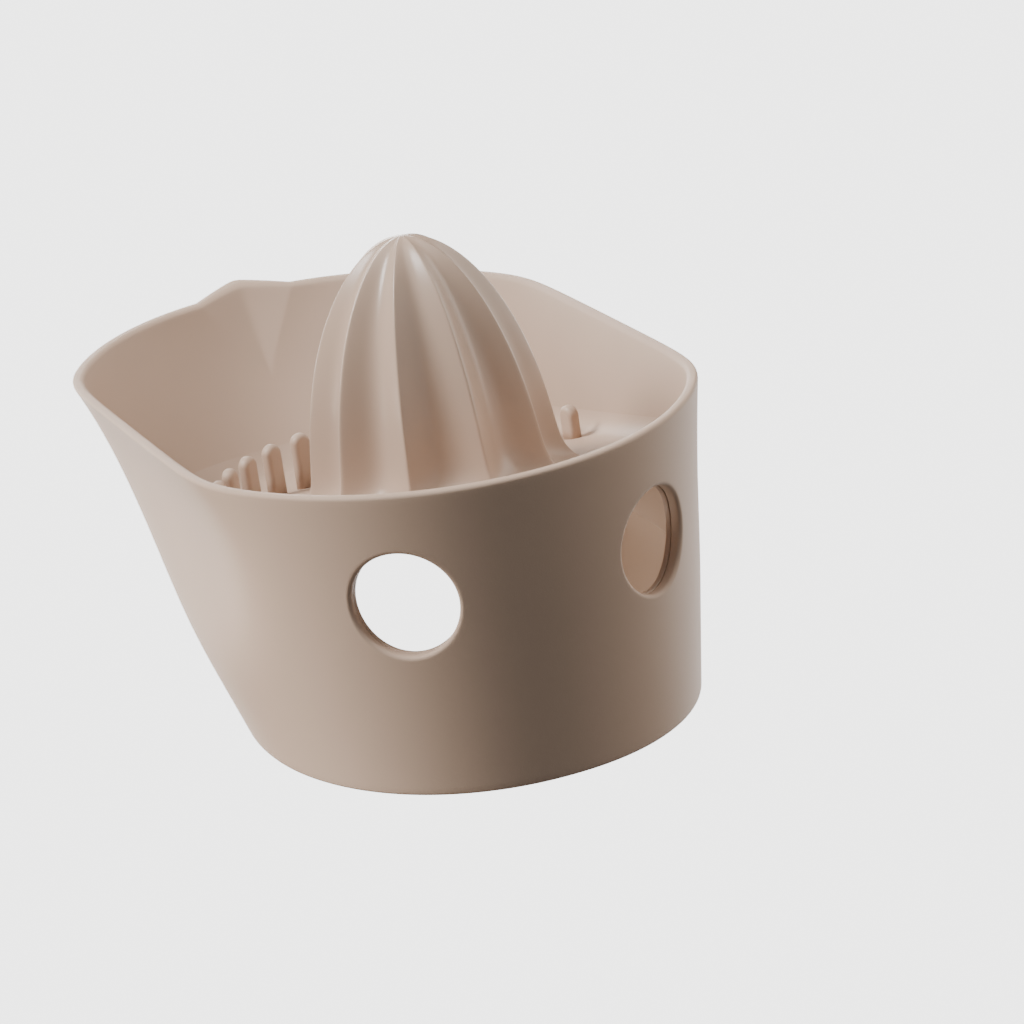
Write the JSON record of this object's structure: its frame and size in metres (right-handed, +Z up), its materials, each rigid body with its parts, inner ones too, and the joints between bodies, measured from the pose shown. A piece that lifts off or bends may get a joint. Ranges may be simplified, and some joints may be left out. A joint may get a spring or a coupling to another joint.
{
  "type": "citrus juicer",
  "caption": "Hand-held citrus juicer with a fluted reamer, a pip comb, a pouring spout and finger holes in a tapered foot.",
  "frame": {"origin": "centre of the bounding box at the table", "axes": "+Z up along the reamer, +Y towards the pouring spout, finger holes on the -Y side, mirror plane at X = 0"},
  "size_m": [0.134, 0.2367, 0.1228],
  "materials": {
    "shell": "fine matt grain",
    "tray": "smooth satin",
    "reamer": "smooth satin"
  },
  "bodies": {
    "body": {"outer_shell": "shell", "bowl_tray": "tray", "tray_skirt": "tray", "pip_comb": "tray"},
    "reamer": {"reamer_cone": "reamer"}
  },
  "joints": [
    {"name": "reamer_lift", "type": "slide", "parent": "body", "child": "reamer", "axis": [0, 0, 1], "range_m": [0, 0.06]}
  ]
}
